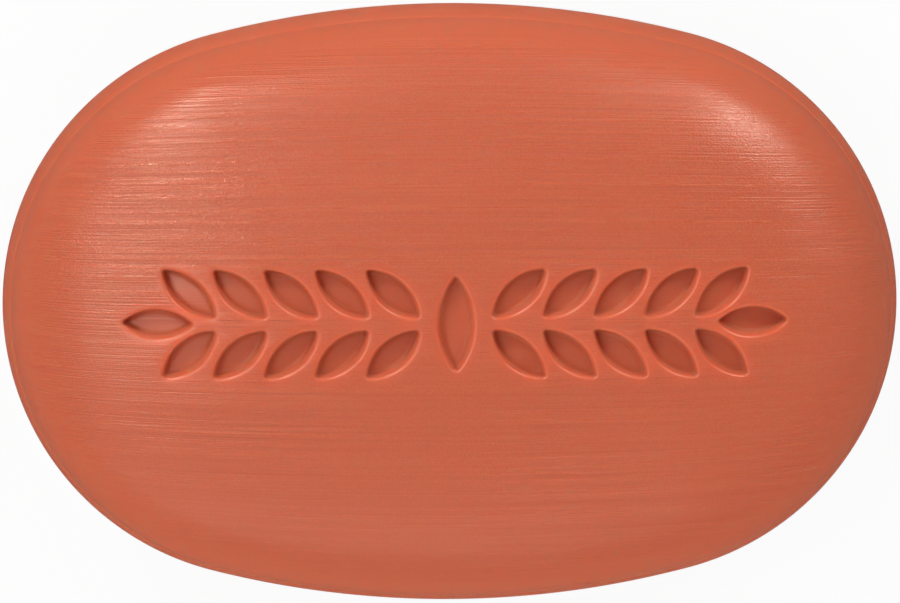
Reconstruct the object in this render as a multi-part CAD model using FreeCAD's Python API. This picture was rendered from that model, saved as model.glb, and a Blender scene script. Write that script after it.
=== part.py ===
import FreeCAD, Part

import math
import os

from FreeCAD import Vector

# A pressed oval bar of toilet soap, lying on its back with its stamped face up.
# It is one solid. Its section runs round an oval of four tangent arcs: a rounded belt, a fine
# seam above and below it where the two halves of the die met, a drafted wall, a round shoulder
# and a crown. The face is debossed with a band of leaves. The back has a flat seat.
# Frame: +X along the bar, +Y across it, +Z out of the face. The origin is the centre of the seat.
# A section is drawn in the XZ plane, with z = 0 at the middle of the belt.

# Plan outline
bar_length = 90.0
bar_width = 60.4
side_bow = 2.2  # how far the long sides bow out past the width of the round ends

# Belt between the two seams
belt_height = 8.8
belt_bulge = 0.85  # how far the middle of the belt stands out past its seams
seam_step = 0.12  # how far the belt stands proud of the two halves

# The two halves
front_height = 15.5  # middle of the belt to the top of the face
back_height = 13.5  # middle of the belt to the seat
front_crown_radius = 64.0
back_crown_radius = 64.0
seat_reach = 9.0  # how far the seat reaches from the middle of the bar's section
wall_draft = 14.0  # degrees
shoulder_radius = 9.0

# Debossed band of leaves, centred on the face
stamp_depth = 1.5
stamp_draft = 12.0  # degrees
leaf_length = 7.2
leaf_width = 3.0
leaf_lean = 42.0  # degrees from the band's axis
leaf_pitch = 5.0
leaf_pairs = 5  # on each side of the middle
leaf_offset = 3.0  # a leaf's centre from the band's axis
first_leaf = 6.2  # the first pair's centres from the middle of the band
end_leaf_gap = 3.1  # the last pair's centres to the end leaf's centre
middle_leaf_length = 9.8
middle_leaf_width = 3.6

half_length = bar_length / 2
half_width = bar_width / 2
end_radius = half_width - side_bow
end_centre = half_length - end_radius  # centre of an end arc, on the X axis
side_radius = (end_centre**2 + half_width**2 - end_radius**2) / (2 * side_bow)
side_centre = side_radius - half_width  # centre of a side arc, on the Y axis
joint_angle = math.degrees(math.atan2(side_centre, end_centre))  # from an end centre to where the arcs meet
up = Vector(0, 0, 1)
origin = Vector(0, 0, 0)


def arc_about(centre, start, end):
    """The short arc from start to end about a centre."""
    radius = (start - centre).Length
    middle = centre + ((start - centre) + (end - centre)).normalize() * radius
    return Part.Arc(start, middle, end).toShape()


def half_section(height, crown_radius, flat_reach):
    """Edges of one half from the seam to the flat in the middle, with x the inset from the outline."""
    draft = math.radians(wall_draft)
    seam = Vector(belt_bulge + seam_step, 0, belt_height / 2)
    upwards = Vector(math.sin(draft), 0, math.cos(draft))
    inwards = Vector(math.cos(draft), 0, -math.sin(draft))
    crown_drop = math.sqrt(crown_radius**2 - flat_reach**2)
    crown_centre = Vector(end_radius, 0, height - crown_drop)

    # The wall ends where a shoulder arc tangent to it also touches the crown from inside.
    start = seam + inwards * shoulder_radius - crown_centre
    along = start.dot(upwards)
    wall_length = math.sqrt(along**2 - start.dot(start) + (crown_radius - shoulder_radius) ** 2) - along
    wall_top = seam + upwards * wall_length
    shoulder_centre = wall_top + inwards * shoulder_radius
    towards = (shoulder_centre - crown_centre).normalize()
    shoulder_top = crown_centre + towards * crown_radius
    crown_top = Vector(end_radius - flat_reach, 0, height)

    edges = [
        Part.makeLine(Vector(belt_bulge, 0, seam.z), seam),
        Part.makeLine(seam, wall_top),
        arc_about(shoulder_centre, wall_top, shoulder_top),
        arc_about(crown_centre, shoulder_top, crown_top),
    ]
    if flat_reach > 0:
        edges.append(Part.makeLine(crown_top, Vector(end_radius, 0, height)))
    return edges


def section_face(arc_radius):
    """The bar's half section as a face whose x is the distance from the centre of an arc of the outline."""
    front = half_section(front_height, front_crown_radius, 0)
    back = [edge.mirror(origin, up) for edge in half_section(back_height, back_crown_radius, seat_reach)]
    seam_z = belt_height / 2
    belt = Part.Arc(Vector(belt_bulge, 0, seam_z), origin, Vector(belt_bulge, 0, -seam_z)).toShape()
    middle = Part.makeLine(Vector(end_radius, 0, front_height), Vector(end_radius, 0, -back_height))
    wire = Part.Wire(Part.sortEdges(front + back + [belt, middle])[0])
    face = Part.Face(wire).mirror(origin, Vector(1, 0, 0))
    face.translate(Vector(arc_radius, 0, 0))
    return face


def sector(arc_radius, first_angle, last_angle, centre):
    """The section turned about the centre of one arc of the outline."""
    face = section_face(arc_radius)
    face.rotate(origin, up, first_angle)
    solid = face.revolve(origin, up, last_angle - first_angle)
    solid.translate(centre)
    return solid


def middle_block():
    """What the four sectors leave open: a slim flat lens between the two end centres."""
    tip = Vector(end_centre, 0, 0)
    flank = Vector(0, side_bow, 0)
    rim = Part.Wire([Part.Arc(tip, flank, -tip).toShape(), Part.Arc(-tip, -flank, tip).toShape()])
    block = Part.Face(rim).extrude(up * (front_height + back_height))
    block.translate(up * -back_height)
    return block


def plain_bar():
    """The bar before it is stamped, with z = 0 at the middle of its belt."""
    right = sector(end_radius, -joint_angle, joint_angle, Vector(end_centre, 0, 0))
    far = sector(side_radius, joint_angle, 180 - joint_angle, Vector(0, -side_centre, 0))
    left = right.copy()
    left.rotate(origin, up, 180)
    near = far.copy()
    near.rotate(origin, up, 180)
    return right.fuse([far, left, near, middle_block()]).removeSplitter()


def face_height(x, y):
    """Height of the crowned face at a point of the plan."""
    x, y = abs(x), abs(y)
    if x * side_centre > end_centre * (y + side_centre):
        off_middle = math.hypot(x - end_centre, y)
    else:
        off_middle = max(0, math.hypot(x, y + side_centre) - (side_radius - end_radius))
    return front_height - front_crown_radius + math.sqrt(front_crown_radius**2 - off_middle**2)


def leaf_punch(x, y, turn, length, width):
    """A drafted leaf, where two tapered discs overlap. It has its true size where it meets the face."""
    level = face_height(x, y)
    slope = math.tan(math.radians(stamp_draft))
    radius = (length**2 + width**2) / (4 * width)
    low = 3 * stamp_depth  # from the face down past the floor
    high = stamp_depth
    discs = [
        Part.makeCone(
            radius - slope * low,
            radius + slope * high,
            low + high,
            Vector(0, side * (radius - width / 2), level - low),
        )
        for side in (1, -1)
    ]
    leaf = discs[0].common(discs[1])
    leaf.rotate(origin, up, turn)
    leaf.translate(Vector(x, y, 0))
    return leaf


def leaf_band():
    """Every punch of the band: mirrored pairs, an end leaf each side and an upright one in the middle."""
    leaves = [leaf_punch(0, 0, 90, middle_leaf_length, middle_leaf_width)]
    for side in (1, -1):
        for i in range(leaf_pairs):
            x = side * (first_leaf + i * leaf_pitch)
            for flank in (1, -1):
                turn = side * flank * leaf_lean
                leaves.append(leaf_punch(x, flank * leaf_offset, turn, leaf_length, leaf_width))
        end_x = side * (first_leaf + (leaf_pairs - 1) * leaf_pitch + end_leaf_gap)
        leaves.append(leaf_punch(end_x, 0, 0, leaf_length, leaf_width))
    return Part.makeCompound(leaves)


def soap_bar():
    """The whole bar, one solid. The floors of its leaves follow the crown, one depth below it."""
    bar = plain_bar()
    sunk = bar.copy()
    sunk.translate(up * -stamp_depth)
    bar = bar.cut(leaf_band().cut(sunk))
    bar.translate(up * back_height)
    return bar


os.makedirs("parts", exist_ok=True)
soap = soap_bar()
print("solids", len(soap.Solids), "valid", soap.isValid(), "cm3", round(soap.Volume / 1000, 2))
soap.exportStep("parts/soap_bar.step")
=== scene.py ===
import math

import bpy
import numpy as np
from mathutils import Matrix, Vector
from mathutils.geometry import delaunay_2d_cdt


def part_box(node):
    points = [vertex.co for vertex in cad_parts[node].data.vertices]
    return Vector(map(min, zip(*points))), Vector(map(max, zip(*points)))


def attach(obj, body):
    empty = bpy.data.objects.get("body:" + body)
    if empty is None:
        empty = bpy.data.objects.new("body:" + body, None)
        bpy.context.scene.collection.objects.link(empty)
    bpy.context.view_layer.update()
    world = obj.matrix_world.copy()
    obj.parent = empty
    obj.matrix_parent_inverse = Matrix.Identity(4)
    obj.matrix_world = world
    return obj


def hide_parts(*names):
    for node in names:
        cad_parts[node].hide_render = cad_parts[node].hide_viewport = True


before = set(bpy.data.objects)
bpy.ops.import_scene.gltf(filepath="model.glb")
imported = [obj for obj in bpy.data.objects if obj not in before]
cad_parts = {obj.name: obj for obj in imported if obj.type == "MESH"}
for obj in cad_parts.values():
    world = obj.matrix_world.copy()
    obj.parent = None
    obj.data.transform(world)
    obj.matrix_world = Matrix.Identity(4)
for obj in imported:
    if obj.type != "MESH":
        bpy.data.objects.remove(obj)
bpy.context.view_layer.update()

# A pressed oval bar of toilet soap, lying on its back with its stamped face up.
# Lengths are in millimetres until a mesh is made, with z = 0 on the seat.

mm = 0.001
print("frame loaded, nodes", sorted(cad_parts))


# How far a value has come from start to end, as a share between 0 and 1.
def between(value, start, end):
    return np.clip((value - start) / (end - start), 0, 1)


# The same share with a soft start and end: three times its square less twice its cube.
def eased(share):
    return share**2 * (3 - 2 * share)


# The bar's section runs round an oval of four tangent arcs.
barLow, barHigh = (np.array(corner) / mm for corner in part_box("soap_bar"))
bar = {
    "length": barHigh[0] - barLow[0],
    "width": barHigh[1] - barLow[1],
    "height": barHigh[2] - barLow[2],
    "sideBow": 2.2,            # how far the long sides bow out past the width of the round ends
    "beltMiddle": 13.5,        # height of the belt's widest line above the seat
    "beltHeight": 8.8,
    "beltBulge": 0.85,         # how far the middle of the belt stands out past its seams
    "seamStep": 0.12,          # how far in from the belt's edge the two halves start
    "crownRadius": 64.0,
    "seatReach": 9.0,          # how far the seat reaches from the middle of the bar's section
    "wallDraft": 14.0,         # degrees
    "shoulderRadius": 9.0,
    "blend": 10.0,             # length over which the slope is averaged
    "blendLead": 0.35,         # share of it by which the averaging is whole before the shoulder's end
    "sectionPoints": 1200,
}

halfLength = bar["length"] / 2
halfWidth = bar["width"] / 2
endRadius = halfWidth - bar["sideBow"]
endCentre = halfLength - endRadius
sideRadius = (endCentre**2 + halfWidth**2 - endRadius**2) / (2 * bar["sideBow"])
sideCentre = sideRadius - halfWidth


# Inset of a plan point from the outline: the nearest arc's radius less the distance to its centre.
# A side arc owns what lies inside the wedge from its centre through the two end centres.
# Past the end centres the inset stays at the end arc's radius, where the face is level.
def insetAt(x, y):
    x, y = np.abs(x), np.abs(y)
    onSide = x * sideCentre < endCentre * (y + sideCentre)
    sideInset = sideRadius - np.hypot(x, y + sideCentre)
    endInset = endRadius - np.hypot(x - endCentre, y)
    return np.minimum(np.where(onSide, sideInset, endInset), endRadius)


# Rays that cross the outline square on, evenly spaced along it: the centre of each point's arc,
# the outward direction there, and that arc's radius.
def outlineRays(count):
    jointAngle = math.atan2(sideCentre, endCentre)
    endArc = endRadius * 2 * jointAngle
    sideArc = sideRadius * (math.pi - 2 * jointAngle)
    along = (np.arange(count) + 0.5) / count * 2 * (endArc + sideArc)
    starts = np.cumsum([0, endArc, sideArc, endArc])
    sector = np.searchsorted(starts, along, side="right") - 1
    radius = np.array([endRadius, sideRadius, endRadius, sideRadius])[sector]
    firstAngle = np.array([-jointAngle, jointAngle, math.pi - jointAngle, math.pi + jointAngle])[sector]
    angle = firstAngle + (along - starts[sector]) / radius
    centres = np.array([[endCentre, 0], [0, -sideCentre], [-endCentre, 0], [0, sideCentre]])[sector]
    return centres, np.stack([np.cos(angle), np.sin(angle)], 1), radius


# Section of one half, from its seam over the shoulder to the flat in the middle, as inset and height.
# Along its length it has three slopes: the drafted wall's, then one that falls evenly round the
# shoulder's arc, then one that falls evenly round the crown's. The arcs touch, and the slope is
# averaged over the blend's length where they meet, so that no edge shows in a highlight.
def halfSection(height, reach):
    crown, shoulder = bar["crownRadius"], bar["shoulderRadius"]
    draft = math.radians(bar["wallDraft"])
    seamPoint = np.array([bar["beltBulge"] + bar["seamStep"], bar["beltHeight"] / 2])
    upwards = np.array([math.sin(draft), math.cos(draft)])
    inwards = np.array([math.cos(draft), -math.sin(draft)])
    crownCentre = np.array([endRadius, height - math.sqrt(crown**2 - reach**2)])
    start = seamPoint + inwards * shoulder - crownCentre
    alongWall = start @ upwards
    wallLength = math.sqrt(alongWall**2 - start @ start + (crown - shoulder) ** 2) - alongWall
    toCentre = seamPoint + upwards * wallLength + inwards * shoulder - crownCentre
    joint = math.atan2(-toCentre[0], toCentre[1])
    wallSlope = math.pi / 2 - draft
    lastSlope = math.asin(reach / crown)
    lengths = np.cumsum([0, wallLength, shoulder * (wallSlope - joint), crown * (joint - lastSlope)])
    along = np.linspace(0, lengths[-1], bar["sectionPoints"])
    slope = np.interp(along, lengths, [wallSlope, wallSlope, joint, lastSlope])
    window = int(round(bar["blend"] / along[1]))
    padded = np.pad(slope, window, mode="reflect", reflect_type="odd")
    averaged = np.convolve(padded, np.ones(window) / window, mode="same")[window:-window]
    slope += (averaged - slope) * eased(between(along, 0, lengths[2] - bar["blend"] * bar["blendLead"]))
    steps = np.stack([np.cos(slope), np.sin(slope)], 1)
    points = np.concatenate([[[0, 0]], np.cumsum((steps[1:] + steps[:-1]) / 2, axis=0)])
    points *= (np.array([endRadius - reach, height]) - seamPoint) / points[-1]
    return seamPoint + points


faceSection = halfSection(bar["height"] - bar["beltMiddle"], 0)
backSection = halfSection(bar["beltMiddle"], bar["seatReach"])


# Height of the face above the seat: the section's height over the inset.
def crownHeight(x, y):
    return bar["beltMiddle"] + np.interp(insetAt(x, y), faceSection[:, 0], faceSection[:, 1])


# Evenly spaced points of a section between two insets.
def sectionRows(section, first, last, count):
    steps = np.hypot(*np.diff(section, axis=0).T)
    along = np.concatenate([[0], np.cumsum(steps)])
    ends = np.interp([first, last], section[:, 0], along)
    at = np.linspace(ends[0], ends[1], count)
    return np.stack([np.interp(at, along, section[:, 0]), np.interp(at, along, section[:, 1])], 1)


# The pressed band: pointed oval leaves with round tips, each a drafted pocket.
leaves = {
    "length": 7.2,
    "width": 3.0,
    "tipRadius": 0.4,
    "lean": 42.0,              # degrees from the band's axis
    "pitch": 5.0,
    "pairs": 5,                # on each side of the middle
    "offset": 3.0,             # a leaf's centre from the band's axis
    "first": 6.2,              # the first pair's centres from the middle of the band
    "endGap": 3.1,             # the last pair's centres to the end leaf's centre
    "middleLength": 9.8,
    "middleWidth": 3.6,
    "depth": 1.5,
    "draft": 12.0,             # degrees
    "rimRadius": 0.32,
    "floorRadius": 0.45,
    "softEdge": 0.06,          # how far the face sinks towards a rim
    "softReach": 0.55,
    "bendPoints": 7,           # round the rim and round the fillet at the floor
    "wallPoints": 4,           # down the wall between them, with its ends
}


# Centre, turn and size of every leaf: mirrored pairs, an end leaf each side, one upright in the middle.
def leafPlaces():
    places = [(0, 0, 90, leaves["middleLength"], leaves["middleWidth"])]
    for side in (1, -1):
        for i in range(leaves["pairs"]):
            x = side * (leaves["first"] + i * leaves["pitch"])
            for flank in (1, -1):
                turn = side * flank * leaves["lean"]
                places.append((x, flank * leaves["offset"], turn, leaves["length"], leaves["width"]))
        endX = side * (leaves["first"] + (leaves["pairs"] - 1) * leaves["pitch"] + leaves["endGap"])
        places.append((endX, 0, 0, leaves["length"], leaves["width"]))
    return places


# The arcs of a leaf: its sides' radius, how far their centres lie from its axis, and how far the
# centres of its round tips lie from its middle. A tip's arc touches both sides from inside.
def leafArcs(length, width):
    radius = (length**2 + width**2) / (4 * width)
    apart = radius - width / 2
    return radius, apart, math.sqrt((radius - leaves["tipRadius"]) ** 2 - apart**2)


# Distance from a leaf's outline, less than 0 inside: from the tip's centre less its radius beyond the
# line through both centres, and from the far side's centre less the sides' radius elsewhere.
def leafDistance(x, y, place):
    cx, cy, turn, length, width = place
    turn = math.radians(turn)
    u = np.abs((x - cx) * math.cos(turn) + (y - cy) * math.sin(turn))
    v = np.abs((y - cy) * math.cos(turn) - (x - cx) * math.sin(turn))
    radius, apart, tip = leafArcs(length, width)
    beyondTip = (u - tip) * apart > v * tip
    return np.where(beyondTip, np.hypot(u - tip, v) - leaves["tipRadius"], np.hypot(u, v + apart) - radius)


# Distance from the nearest leaf of the band.
def bandDistance(x, y):
    nearest = np.full(np.shape(x), np.inf)
    for place in leafPlaces():
        nearest = np.minimum(nearest, leafDistance(x, y, place))
    return nearest


# Section of a pocket from the face to its floor, as distance from the leaf's outline and depth:
# a quarter-round rim, a drafted wall and a fillet, each tangent to the next.
def pocketSection():
    draft = math.radians(leaves["draft"])
    share = (1 - math.sin(draft)) / math.cos(draft)
    rim = leaves["rimRadius"]
    floor = leaves["floorRadius"]
    depth = leaves["depth"]
    bend = np.linspace(0, math.pi / 2 - draft, leaves["bendPoints"])
    rimPart = np.stack([rim * share - rim * np.sin(bend), rim * np.cos(bend) - rim], 1)
    floorCentre = -depth * math.tan(draft) - floor * share
    floorPart = np.stack([floorCentre + floor * np.sin(bend), floor - depth - floor * np.cos(bend)], 1)[::-1]
    down = np.linspace(0, 1, leaves["wallPoints"])[1:-1, None]
    return np.concatenate([rimPart, rimPart[-1] + down * (floorPart[0] - rimPart[-1]), floorPart])


# How deep the face is pressed at a distance from the nearest leaf: the pocket's section, and outside
# it a gentle fall towards the rim, as of soap that the die has squeezed up between the leaves.
def pressedDepth(distance):
    section = pocketSection()[::-1]
    sunk = np.interp(distance, section[:, 0], section[:, 1])
    return sunk - leaves["softEdge"] * np.exp(-np.maximum(distance, 0) / leaves["softReach"])


# How finely the mesh is divided. A grid lies between two distances from the nearest leaf.
fineness = {
    "columns": 500,            # points round the outline
    "faceInset": 9.0,          # where the rows of the sides hand over to the face
    "frontRows": 30,
    "backRows": 36,
    "beltRows": 9,             # in each half of the belt, past the seam
    "beltStart": 0.7,          # how far past the seam they start
    "seatRows": (2.0, 1.0, 0.3),          # how far in from the edge of the seat they lie
    "pocketSpacing": 0.24,
    "floorLoops": (0.28, 0.6),            # how far in from the edge of a leaf's floor they lie
    "floorSpacing": 0.34,
    "narrowest": 0.05,         # half the width of the smallest loop on a floor
    "rimLoops": ((0.13, 0.26), (0.34, 0.34)),     # how far out from a rim, and their spacing
    "rimOverlap": 0.01,        # how much nearer to another leaf a loop's point may be
    "fewestTipPoints": 4,
    "tipGrowth": 0.3,          # how much wider a tip's arc counts, so that a small one stays round
    "faceGrids": (
        {"reach": (36, 8), "spacing": 0.42, "nearest": 0.75, "farthest": 1.7},
        {"reach": (38, 24), "spacing": 0.8, "nearest": 1.9, "farthest": 99},
    ),
    "faceGap": 0.45,           # from the last row of the sides to a grid
    "seatGrid": {"reach": (30, 14), "spacing": 1.4},
    "seatGap": 0.8,
}


# Closed loop at a set distance from a leaf's outline: two side arcs and, while they last, two tip arcs.
def leafLoop(place, distance, spacing):
    cx, cy, turn, length, width = place
    turn = math.radians(turn)
    radius, apart, tip = leafArcs(length, width)
    tipRadius = leaves["tipRadius"] + distance
    sideHalf = math.atan2(tip, apart) if tipRadius > 0 else math.acos(apart / (radius + distance))
    sideCount = 2 * int(round(sideHalf * (radius + distance) / spacing)) + 1
    side = np.linspace(sideHalf, -sideHalf, sideCount)
    upper = np.stack([(radius + distance) * np.sin(side), (radius + distance) * np.cos(side) - apart], 1)
    halfLoop = upper[:-1]
    if tipRadius > 0:
        tipHalf = math.pi / 2 - sideHalf
        tipCount = 2 * int(round(tipHalf * (tipRadius + fineness["tipGrowth"]) / spacing)) + 2
        bend = math.pi - tipHalf + np.linspace(0, 2 * tipHalf, max(fineness["fewestTipPoints"], tipCount))
        cap = np.stack([-tip + tipRadius * np.cos(bend), tipRadius * np.sin(bend)], 1)
        halfLoop = np.concatenate([upper, cap[1:-1]])
    loop = np.concatenate([halfLoop, -halfLoop])
    turned = np.stack([loop[:, 0] * math.cos(turn) - loop[:, 1] * math.sin(turn),
                       loop[:, 0] * math.sin(turn) + loop[:, 1] * math.cos(turn)], 1)
    return turned + np.array([cx, cy])


# Plan points and the Delaunay triangles over them, which keep the given loops' edges.
def spanned(points, edges):
    wholeHull, tolerance = 0, 1e-7
    made = delaunay_2d_cdt(points.tolist(), edges.tolist(), [], wholeHull, tolerance, False)
    return np.array([tuple(point) for point in made[0]]), np.array(made[2])


# Edges that close a loop of count points, the first of them at start.
def loopEdges(start, count):
    index = np.arange(count)
    return start + np.stack([index, (index + 1) % count], 1)


# A staggered grid over a rectangle about the middle: every other row is shifted by half the spacing.
def staggered(grid):
    spacing = grid["spacing"]
    farX, farY = grid["reach"]
    rowGap = spacing * math.sqrt(3) / 2
    x, y = np.meshgrid(np.arange(-farX, farX, spacing), np.arange(-farY, farY, rowGap))
    x = x + spacing / 2 * (np.arange(len(y)) % 2)[:, None]
    return np.stack([x.ravel(), y.ravel()], 1)


# The face inside the sides' rim: loops down each pocket, a fine grid between the leaves, a wider one
# outside. The rim and the pockets' loops keep their edges.
def facePlan(rimLoop):
    section = pocketSection()
    groups = [rimLoop]
    edges = [loopEdges(0, len(rimLoop))]
    total = len(rimLoop)
    for place in leafPlaces():
        for distance in section[:, 0]:
            loop = leafLoop(place, distance, fineness["pocketSpacing"])
            edges.append(loopEdges(total, len(loop)))
            groups.append(loop)
            total += len(loop)
    floorLine = section[-1, 0]
    rimLine = section[0, 0]
    for place in leafPlaces():
        halfLeaf = place[-1] / 2
        for inwards in fineness["floorLoops"]:
            distance = floorLine - inwards
            if distance > fineness["narrowest"] - halfLeaf:
                groups.append(leafLoop(place, distance, fineness["floorSpacing"]))
        for outwards, spacing in fineness["rimLoops"]:
            distance = rimLine + outwards
            loop = leafLoop(place, distance, spacing)
            groups.append(loop[bandDistance(loop[:, 0], loop[:, 1]) > distance - fineness["rimOverlap"]])
    for grid in fineness["faceGrids"]:
        plan = staggered(grid)
        apart = bandDistance(plan[:, 0], plan[:, 1])
        inside = insetAt(plan[:, 0], plan[:, 1]) > fineness["faceInset"] + fineness["faceGap"]
        groups.append(plan[(apart > grid["nearest"]) & (apart <= grid["farthest"]) & inside])
    return np.concatenate(groups), np.concatenate(edges)


# At each seam the belt stands proud of the wall: its inset grows by the step over the seam's width.
# What the solid's step has more is added to the belt's bulge.
seam = {"width": 0.34, "rows": 8, "step": 0.05}


# Rows of the belt, as inset and height about its middle: an arc, with an eased step at each seam.
def beltRows():
    bulge = bar["beltBulge"] + bar["seamStep"] - seam["step"]
    half = bar["beltHeight"] / 2
    radius = (half**2 + bulge**2) / (2 * bulge)
    under = np.arange(1, seam["rows"] + 1) / seam["rows"] * seam["width"]
    z = half - np.concatenate([under, np.linspace(fineness["beltStart"], half, fineness["beltRows"])])
    z = np.concatenate([z, -z[-2::-1]])
    step = seam["step"] * eased(np.clip(1 - (half - np.abs(z)) / seam["width"], 0, 1))
    return np.stack([radius - np.sqrt(radius**2 - z**2) + step, z], 1)


# Rows of the sides, as inset and height: from the face over the shoulder, wall, seam and belt and
# back down to the seat. The face's own rim row comes first.
def sideRows():
    front = sectionRows(faceSection, fineness["faceInset"], faceSection[0, 0], fineness["frontRows"])
    back = sectionRows(backSection, endRadius - bar["seatReach"], backSection[0, 0], fineness["backRows"])
    seat = back[0] + np.array([[inset, 0] for inset in fineness["seatRows"]])
    back = np.concatenate([seat, back])[::-1] * np.array([1, -1])
    return np.concatenate([front, beltRows(), back]) + np.array([0, bar["beltMiddle"]])


# The bar's points, quads and triangles: the ring of the sides, the pressed face and the seat.
# The ring carries each row round the outline. The face and the seat share its first and last loops,
# so that the bar is closed.
def soapBar():
    count = fineness["columns"]
    centres, outward, radius = outlineRays(count)
    rows = sideRows()
    plan = centres[None] + outward[None] * (radius[None, :, None] - rows[:, 0][:, None, None])
    ring = np.concatenate([plan, np.broadcast_to(rows[:, 1][:, None, None], plan.shape[:2] + (1,))], 2)
    index = np.arange(len(rows) * count).reshape(len(rows), count)
    after = np.roll(index, -1, axis=1)
    quads = np.stack([index[:-1], index[1:], after[1:], after[:-1]], 2).reshape(-1, 4)

    facePoints, faceTriangles = spanned(*facePlan(ring[0, :, :2]))
    height = crownHeight(facePoints[:, 0], facePoints[:, 1])
    height += pressedDepth(bandDistance(facePoints[:, 0], facePoints[:, 1]))
    face = np.concatenate([facePoints, height[:, None]], 1)
    print("face points", len(face), "triangles", len(faceTriangles))

    seatGrid = staggered(fineness["seatGrid"])
    seatGrid = seatGrid[insetAt(seatGrid[:, 0], seatGrid[:, 1]) > rows[-1, 0] + fineness["seatGap"]]
    seatPoints, seatTriangles = spanned(np.concatenate([ring[-1, :, :2], seatGrid]), loopEdges(0, count))
    seat = np.concatenate([seatPoints, np.zeros((len(seatPoints), 1))], 1)

    points = np.concatenate([ring.reshape(-1, 3), face, seat])
    faceStart = len(rows) * count
    seatStart = faceStart + len(face)
    shared = np.arange(len(points))
    shared[faceStart:faceStart + count] = index[0]
    shared[seatStart:seatStart + count] = index[-1]
    triangles = np.concatenate([faceTriangles + faceStart, seatTriangles[:, ::-1] + seatStart])
    return points, shared[quads], shared[triangles]


# Slow unevenness of pressed soap: long waves in random directions, stretched along the bar.
waves = {
    "count": 26,
    "height": 0.006,           # of the longest
    "shortest": 5.0,
    "longest": 26.0,
    "stretch": 2.5,            # how much they are stretched along the bar
    "fade": 4.0,               # height over which they fade out, at the seat and at the belt's middle
    "seed": 7,
}
waveRandom = np.random.default_rng(waves["seed"])
waveLog = waveRandom.uniform(math.log(waves["shortest"]), math.log(waves["longest"]), waves["count"])
waveLength = np.exp(waveLog)
waveHeading = waveRandom.normal(size=(waves["count"], 3)) * np.array([1 / waves["stretch"], 1, 1])
waveNumber = waveHeading / np.linalg.norm(waveHeading, axis=1)[:, None] * (2 * math.pi / waveLength)[:, None]
waveStart = waveRandom.uniform(0, 2 * math.pi, waves["count"])


# The bar's points made uneven: each moves in by how far the sum of the waves lies below its highest,
# down in the front half and up in the back one, and not at all at the seat and at the belt's middle.
def uneven(points):
    heights = np.sin(points @ waveNumber.T + waveStart) * np.sqrt(waveLength / waves["longest"])
    swell = waves["height"] * heights.sum(1)
    offSeat = np.clip(points[:, 2] / waves["fade"], 0, 1)
    offBelt = np.clip((points[:, 2] - bar["beltMiddle"]) / waves["fade"], -1, 1)
    moved = points.copy()
    moved[:, 2] -= (swell.max() - swell) * offSeat * offBelt
    return moved


# The milling streaks, and how plainly they show. A pair says where a share starts and where it is
# whole: along x or y, as an inset from the outline, or as a distance from a leaf's outline.
streaks = {
    "bow": 0.00005,            # per square millimetre
    "wallReach": 8.5,          # how far above and below the belt's middle the walls count
    "across": (-24, -12, -3, 5),          # places across the bar
    "shown": (0.4, 0.82, 0.82, 1.02),     # and how plainly they show there
    "pastBand": (-3, 5),       # along y, where the gains set in
    "leftGain": 0.9,           # how much plainer they show at the left end
    "leftEnd": (-12, -26),
    "leftTop": (21, 15),       # along y
    "rightGain": 0.3,          # and at the right end
    "rightEnd": (18, 28),
    "inLeaves": 0.15,          # how much of them shows in the leaves
    "rimFade": (0.07, 0.77),
    "onWalls": 0.04,           # how much of them shows on the walls
    "wallFade": (1.5, 5.5),
}


# Where the streaks run, as a place in millimetres: along the bar, across it and in depth. They bow:
# the place across grows with the square of the place along. Down a wall it grows as well.
def streakPlace(points):
    x, y, z = points.T
    wall = np.maximum(streaks["wallReach"] - np.abs(z - bar["beltMiddle"]), 0)
    across = y * (1 + streaks["bow"] * x**2 + wall / halfWidth)
    return np.stack([x, across, z], 1)


# How plainly the streaks show: the product of what is left of them in the leaves, on the walls and at
# the place across the bar, and of the gains at the two ends beyond the band.
def streakStrength(points):
    x, y, z = points.T
    clear = np.where(z > bar["beltMiddle"], between(bandDistance(x, y), *streaks["rimFade"]), 1)
    face = between(insetAt(x, y), *streaks["wallFade"])
    pastBand = between(y, *streaks["pastBand"])
    left = between(x, *streaks["leftEnd"]) * pastBand * between(y, *streaks["leftTop"])
    right = between(x, *streaks["rightEnd"]) * pastBand
    shown = np.maximum(clear, streaks["inLeaves"]) * np.maximum(face, streaks["onWalls"])
    ends = 1 + streaks["leftGain"] * left + streaks["rightGain"] * right
    return shown * np.interp(y, streaks["across"], streaks["shown"]) * ends


# How glossy a place is, against the face and the floors of the leaves.
satin = {
    "onWalls": 0.7,
    "wallInsets": (1.2, 4.0),             # where the bar's wall ends and where the face's gloss is whole
    "onLeafWalls": 0.12,
    "leafWalls": (-0.8, -0.55, -0.1, 0.1),     # where a leaf's wall starts and ends, with soft edges
    "floorReach": 0.6,         # how far inside its outline a leaf counts as floor
}


# Gloss as a share: that of the bar's walls over the inset, times that of a leaf's over the distance.
def sheenAt(points):
    x, y, z = points.T
    side = np.interp(insetAt(x, y), satin["wallInsets"], [satin["onWalls"], 1])
    low = satin["onLeafWalls"]
    leaf = np.interp(bandDistance(x, y), satin["leafWalls"], [1, low, low, 1])
    return np.where(z > bar["beltMiddle"], side * leaf, side)


# How far a place is down in a leaf: 0 on the face, 1 on the floor. The painted light on the leaves' floors
# follows it.
def pressedShare(points):
    x, y, z = points.T
    return np.where(z > bar["beltMiddle"], between(bandDistance(x, y), 0, -satin["floorReach"]), 0)


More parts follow.
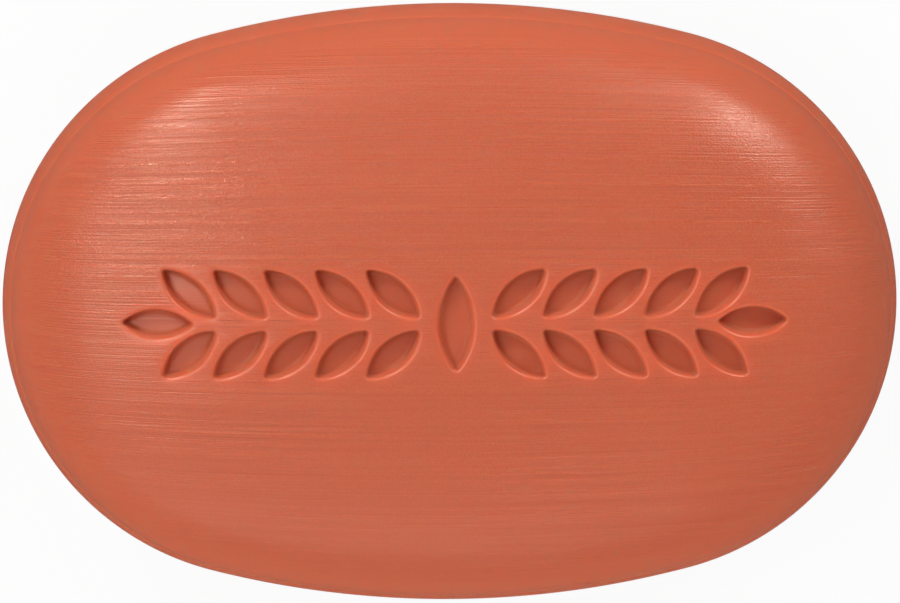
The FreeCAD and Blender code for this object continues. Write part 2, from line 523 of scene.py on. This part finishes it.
# A smooth mesh in metres of the points that its quads and triangles use, and those points' numbers.
def meshOf(name, points, quads, triangles):
    corners = np.concatenate([quads.ravel(), triangles.ravel()])
    used, corners = np.unique(corners, return_inverse=True)
    sizes = np.concatenate([np.full(len(quads), 4), np.full(len(triangles), 3)])
    made = bpy.data.meshes.new(name)
    made.vertices.add(len(used))
    made.vertices.foreach_set("co", (points[used] * mm).ravel())
    made.loops.add(len(corners))
    made.loops.foreach_set("vertex_index", corners.ravel())
    made.polygons.add(len(sizes))
    made.polygons.foreach_set("loop_start", np.concatenate([[0], np.cumsum(sizes)[:-1]]))
    made.polygons.foreach_set("use_smooth", np.ones(len(sizes), bool))
    made.update(calc_edges=True)
    made.validate(verbose=True)
    return made, used


even, quads, triangles = soapBar()
points = uneven(even)
mesh, used = meshOf("soap", points, quads, triangles)
shares = {"streaked": streakStrength(even), "pressed": pressedShare(even), "sheen": sheenAt(even)}
for name, values in shares.items():
    mesh.attributes.new(name, "FLOAT", "POINT").data.foreach_set("value", values[used])
flow = streakPlace(even)
mesh.attributes.new("flow", "FLOAT_VECTOR", "POINT").data.foreach_set("vector", flow[used].ravel())
soap = bpy.data.objects.new("soap", mesh)
bpy.context.collection.objects.link(soap)
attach(soap, "root")
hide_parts("soap_bar")
print("soap mesh", len(mesh.vertices), "vertices", 2 * len(quads) + len(triangles), "triangles")


# Soap finish: coral and satin. Fine streaks run along the bar, and between them lie sparse smooth
# scratches and a grain of tiny pores. Patches let the streaks come and go. Streaks and scratches
# repeat per millimetre along, across and in depth, grain and patches per metre.
finish = {
    "colour": (0.507, 0.117, 0.0565, 1),
    "pale": (0.600, 0.163, 0.087, 1),
    "deep": (0.430, 0.086, 0.039, 1),
    "colourAt": 0.5,
    "paleAt": 0.7,
    "deepAt": 0.3,
    "paintedFloorLight": 0.22,         # painted light: how much brighter the leaves' floors are made, against the shade of their walls
    "roughness": 0.32,
    "smoother": 1.0,           # how much a pale streak is smoother
    "specular": 0.8,
    "tint": (1.0, 0.82, 0.70, 1),         # of the gloss
    "refraction": 1.46,
    "scatter": (1.0, 0.3, 0.16),          # how deep red, green and blue light go, against the depth
    "scatterDepth": 0.003,     # metres
    "fine": {"repeats": (0.025, 6.4, 0.16), "detail": 1.5, "share": 0.72},
    "wide": {"repeats": (0.01, 1.5, 0.06), "detail": 1.0, "share": 0.07},
    "scratches": {"repeats": (0.03, 6.0, 0.2), "detail": 1.0, "share": 1.0},
    "scratchFrom": (0.15, 0.24),          # levels of their noise that make a scratch
    "scratchShare": 0.18,
    "grain": {"repeats": (4600.0, 4600.0, 4600.0), "detail": 2.0, "share": 0.33},
    "patches": {"repeats": (45.0, 45.0, 45.0), "detail": 2.0, "share": 1.0},
    "patchFrom": (-0.16, 0.12),           # levels of their noise, and how much of the streaks shows there
    "patchTo": (0.35, 1.2),
    "relief": 0.0001,          # metres of height for a whole unit of streak
}


# A node, with each of its inputs set to a value or linked to a socket.
def node(tree, kind, place, inputs=None, **settings):
    made = tree.nodes.new(kind)
    made.location = place
    for name, value in settings.items():
        setattr(made, name, value)
    for name, value in (inputs or {}).items():
        if isinstance(value, bpy.types.NodeSocket):
            tree.links.new(value, made.inputs[name])
        else:
            made.inputs[name].default_value = value
    return made


# One sum on up to three numbers, each a value or a socket.
def sumOf(tree, operation, place, *values):
    return node(tree, "ShaderNodeMath", place, dict(enumerate(values)), operation=operation).outputs[0]


# A number carried from one range to another and held at its ends.
def carried(tree, place, value, fromRange, toRange):
    return node(tree, "ShaderNodeMapRange", place, {
        "Value": value, "From Min": fromRange[0], "From Max": fromRange[1],
        "To Min": toRange[0], "To Max": toRange[1]}).outputs[0]


# An attribute of the mesh, as a number.
def shareOf(tree, place, name):
    return node(tree, "ShaderNodeAttribute", place, attribute_name=name).outputs["Fac"]


# Noise about zero: that of the place times the repeats, less a half, times its share.
def streakNoise(tree, place, at, noise):
    x, y = place
    stretched = node(tree, "ShaderNodeVectorMath", place, {0: at, 1: noise["repeats"]}, operation="MULTIPLY")
    level = node(tree, "ShaderNodeTexNoise", (x + 170, y), {
        "Vector": stretched.outputs[0], "Scale": 1.0, "Detail": noise["detail"]}).outputs[0]
    return sumOf(tree, "MULTIPLY_ADD", (x + 340, y), level, noise["share"], -noise["share"] / 2)


# The streaks' sum, times the patches and the streaks' strength, with the grain added, drives colour,
# gloss and relief: above zero it is paler, smoother and raised.
def soapFinish():
    material = bpy.data.materials.new("milled_soap")
    material.use_nodes = True
    tree = material.node_tree
    tree.nodes.clear()
    where = node(tree, "ShaderNodeTexCoord", (-1400, -200)).outputs["Object"]
    flow = node(tree, "ShaderNodeAttribute", (-1400, 200), attribute_name="flow").outputs["Vector"]

    fine = streakNoise(tree, (-1080, 300), flow, finish["fine"])
    wide = streakNoise(tree, (-1080, 120), flow, finish["wide"])
    grain = streakNoise(tree, (-1080, -60), where, finish["grain"])
    sparse = streakNoise(tree, (-1080, -240), flow, finish["scratches"])
    patch = streakNoise(tree, (-1080, -420), where, finish["patches"])
    scratch = carried(tree, (-560, -240), sparse, finish["scratchFrom"], (0.0, finish["scratchShare"]))
    local = carried(tree, (-560, -420), patch, finish["patchFrom"], finish["patchTo"])
    kept = shareOf(tree, (-560, -640), "streaked")
    strength = sumOf(tree, "MULTIPLY", (-220, -500), local, kept)
    grain = sumOf(tree, "MULTIPLY", (-390, -60), grain, kept)

    drawn = sumOf(tree, "ADD", (-390, 220), fine, wide)
    drawn = sumOf(tree, "ADD", (-220, 160), drawn, scratch)
    drawn = sumOf(tree, "MULTIPLY", (-50, 100), drawn, strength)
    streak = sumOf(tree, "ADD", (120, 60), drawn, grain)
    tone = sumOf(tree, "ADD", (290, 240), streak, finish["colourAt"])
    ramp = node(tree, "ShaderNodeValToRGB", (460, 240), {0: tone})
    stops = ramp.color_ramp.elements
    stops[0].position = finish["deepAt"]
    stops[0].color = finish["deep"]
    stops[1].position = finish["colourAt"]
    stops[1].color = finish["colour"]
    stops.new(finish["paleAt"]).color = finish["pale"]

    # Painted light: the colour is made brighter down in the leaves, to stand for light in the shade of their
    # walls.
    pressed = shareOf(tree, (290, 480), "pressed")
    paintedLift = sumOf(tree, "MULTIPLY_ADD", (460, 480), pressed, finish["paintedFloorLight"], 1.0)
    colour = node(tree, "ShaderNodeVectorMath", (640, 300), {0: ramp.outputs[0], "Scale": paintedLift},
                  operation="SCALE").outputs[0]
    rough = sumOf(tree, "MULTIPLY_ADD", (460, -20), drawn, -finish["smoother"], finish["roughness"])
    sheen = shareOf(tree, (290, -420), "sheen")
    gloss = sumOf(tree, "MULTIPLY", (460, -420), sheen, finish["specular"])
    relief = node(tree, "ShaderNodeBump", (460, -240), {
        "Height": streak, "Strength": 1.0, "Distance": finish["relief"]}).outputs[0]
    skin = node(tree, "ShaderNodeBsdfPrincipled", (780, 100), {
        "Base Color": colour, "Roughness": rough, "Normal": relief,
        "Subsurface Weight": 1.0, "Subsurface Radius": finish["scatter"],
        "Subsurface Scale": finish["scatterDepth"],
        "Specular IOR Level": gloss, "Specular Tint": finish["tint"], "IOR": finish["refraction"]})
    node(tree, "ShaderNodeOutputMaterial", (1080, 100), {"Surface": skin.outputs[0]})
    return material


mesh.materials.append(soapFinish())
print("finish made")


# A plain pale floor and world. Seen directly they are white. Dull soap mirrors only a share of that
# white, and the floor keeps the bar's soft shadow.
stage = {
    "floorSize": 3.0,          # metres
    "floorGap": 0.00002,       # metres from the seat down to the floor, so that the two don't coincide
    "floorColour": (0.70, 0.70, 0.70, 1),
    "floorGlow": 0.92,         # share of plain white in what is seen of the floor
    "mirrored": 0.05,          # how white the soap's gloss sees the background
    "overhead": 0.12,          # strength of the world's light from straight above
    "horizon": 0.67,           # and from the side
}
plainWhite = (1, 1, 1, 1)


# Two numbers. The first is 1 for rays from the camera, transmitted and glossy ones, and 0 for the rest.
# The second is how white they see the background: 1, or the mirrored share for glossy ones.
def seenDirectly(tree, x, y):
    path = node(tree, "ShaderNodeLightPath", (x, y)).outputs
    direct = sumOf(tree, "MAXIMUM", (x + 170, y), path["Is Camera Ray"], path["Is Transmission Ray"])
    seen = sumOf(tree, "MAXIMUM", (x + 340, y), direct, path["Is Glossy Ray"])
    white = sumOf(tree, "MAXIMUM", (x + 340, y - 180), direct, stage["mirrored"])
    return seen, white


# A matt floor that is mixed with plain white, by the glow's share, for the rays that see it directly.
def floorFinish():
    material = bpy.data.materials.new("floor_white")
    material.use_nodes = True
    tree = material.node_tree
    tree.nodes.clear()
    seen, white = seenDirectly(tree, -800, 200)
    share = sumOf(tree, "MULTIPLY", (-80, 200), seen, stage["floorGlow"])
    matt = node(tree, "ShaderNodeBsdfDiffuse", (-80, 0), {"Color": stage["floorColour"]}).outputs[0]
    glow = node(tree, "ShaderNodeEmission", (-80, -160), {"Color": plainWhite, "Strength": white}).outputs[0]
    mixed = node(tree, "ShaderNodeMixShader", (140, 60), {0: share, 1: matt, 2: glow}).outputs[0]
    node(tree, "ShaderNodeOutputMaterial", (340, 60), {"Surface": mixed})
    return material


bpy.ops.mesh.primitive_plane_add(size=stage["floorSize"], location=(0, 0, -stage["floorGap"]))
floor = bpy.context.object
floor.name = "floor"
floor.data.materials.append(floorFinish())


# The world's light goes from the horizon's strength to the overhead one with the square of the height
# of its direction, and rays that see it directly find white.
def whiteWorld():
    world = bpy.data.worlds.new("studio")
    world.use_nodes = True
    tree = world.node_tree
    tree.nodes.clear()
    seen, white = seenDirectly(tree, -800, 200)
    where = node(tree, "ShaderNodeTexCoord", (-980, -60)).outputs["Generated"]
    rise = node(tree, "ShaderNodeSeparateXYZ", (-800, -60), {0: where}).outputs[2]
    square = sumOf(tree, "MULTIPLY", (-630, -60), rise, rise)
    level = carried(tree, (-440, -60), square, (0.0, 1.0), (stage["horizon"], stage["overhead"]))
    light = node(tree, "ShaderNodeBackground", (-240, 0), {"Color": plainWhite, "Strength": level})
    backdrop = node(tree, "ShaderNodeBackground", (-240, -140), {"Color": plainWhite, "Strength": white})
    mixed = node(tree, "ShaderNodeMixShader", (0, 60), {
        0: seen, 1: light.outputs[0], 2: backdrop.outputs[0]}).outputs[0]
    node(tree, "ShaderNodeOutputWorld", (200, 60), {"Surface": mixed})
    bpy.context.scene.world = world


whiteWorld()
print("floor and world made")


# Softboxes round the bar, in metres and watts. Each lies in the direction towards, aimed at the bar,
# with its long side along long. Left and right draw the highlights on the far shoulders.
lamps = {
    "left": {"towards": (-0.45, 0.70, 0.55), "long": (1, 0.5, 0), "size": (0.12, 0.18), "power": 2.8},
    "right": {"towards": (0.54, 0.68, 0.46), "long": (-1, 0.9, 0), "size": (0.17, 0.26), "power": 2.5},
    "farLeft": {"towards": (-0.46, 0.12, 0.88), "long": (0, 1, 0), "size": (0.30, 0.40), "power": 1.95},
    "near": {"towards": (0.10, -0.93, 0.36), "long": (1, 0, 0), "size": (0.5, 0.9), "power": 3.4},
    "low": {"towards": (-0.25, -0.75, 0.6), "long": (1, 0, 0), "size": (0.5, 0.9), "power": 0.9},
}
rig = {
    "distance": 0.8,
    "target": (0, 0, 0.02),
    "fillsOnly": "near",       # this one doesn't shine in the soap's gloss
}


# The place and turn of a lamp or camera that looks from place at target: its third axis points
# back from the target, and its second leans towards up.
def aim(place, target, up=(0, 1, 0)):
    back = (Vector(place) - Vector(target)).normalized()
    side = Vector(up).cross(back).normalized()
    turned = Matrix((side, back.cross(side), back)).transposed().to_4x4()
    return Matrix.Translation(place) @ turned


for name, lamp in lamps.items():
    light = bpy.data.lights.new("softbox_" + name, "AREA")
    light.shape = "RECTANGLE"
    light.size, light.size_y = lamp["size"]
    light.energy = lamp["power"]
    box = bpy.data.objects.new("softbox_" + name, light)
    box.visible_glossy = name != rig["fillsOnly"]
    place = Vector(lamp["towards"]).normalized() * rig["distance"]
    box.matrix_world = aim(place, rig["target"], lamp["long"])
    bpy.context.collection.objects.link(box)
print("lights set")


# The camera looks down from a little beyond the far side and a little to the left.
# Its lens and place bring the bar's outline to its edges in the photograph.
view = {
    "tilt": 8.0,               # degrees towards +Y
    "yaw": 2.0,                # degrees towards -X
    "distance": 0.6,           # metres
    "nearest": 0.01,           # metres, where the picture starts
    "sensorWidth": 36,
    "pictureWidth": 900,
    "pictureHeight": 603,
    "left": 2.5,               # edges of the bar in the photograph, in pixels
    "right": 896.5,
    "top": 2.5,
    "bottom": 599.5,
    "rounds": 4,
}


# Each round takes the slopes at which the camera sees the points. Their width over the outline's in
# pixels gives the lens, and the camera shifts by how far their middle is off its wanted place.
def photographCamera(points):
    data = bpy.data.cameras.new("camera")
    data.sensor_fit = "HORIZONTAL"
    data.sensor_width = view["sensorWidth"]
    data.clip_start = view["nearest"]
    camera = bpy.data.objects.new("camera", data)
    bpy.context.collection.objects.link(camera)
    tilt, yaw = math.radians(view["tilt"]), math.radians(view["yaw"])
    back = Vector((-math.sin(yaw), math.sin(tilt), math.cos(tilt))).normalized()
    middle = Vector((0, 0, bar["beltMiddle"] * mm))
    camera.matrix_world = aim(middle + back * view["distance"], middle)
    wantedX = (view["left"] + view["right"] - view["pictureWidth"]) / 2
    wantedY = (view["pictureHeight"] - view["top"] - view["bottom"]) / 2
    for _ in range(view["rounds"]):
        inverse = np.array(camera.matrix_world.inverted())
        seen = points @ inverse[:3, :3].T + inverse[:3, 3]
        slopeX, slopeY = seen[:, 0] / -seen[:, 2], seen[:, 1] / -seen[:, 2]
        perPixel = (slopeX.max() - slopeX.min()) / (view["right"] - view["left"])
        data.lens = view["sensorWidth"] / (perPixel * view["pictureWidth"])
        offX = (slopeX.max() + slopeX.min()) / 2 - wantedX * perPixel
        offY = (slopeY.max() + slopeY.min()) / 2 - wantedY * perPixel
        shift = Matrix.Translation((offX * view["distance"], offY * view["distance"], 0))
        camera.matrix_world = camera.matrix_world @ shift
    tall = (slopeY.max() - slopeY.min()) / perPixel
    print("camera lens", round(data.lens, 1))
    print("outline height in pixels", round(tall, 1), "wanted", view["bottom"] - view["top"])
    return camera


bpy.context.scene.camera = photographCamera(points[used] * mm)
bpy.context.scene.view_settings.view_transform = "Standard"
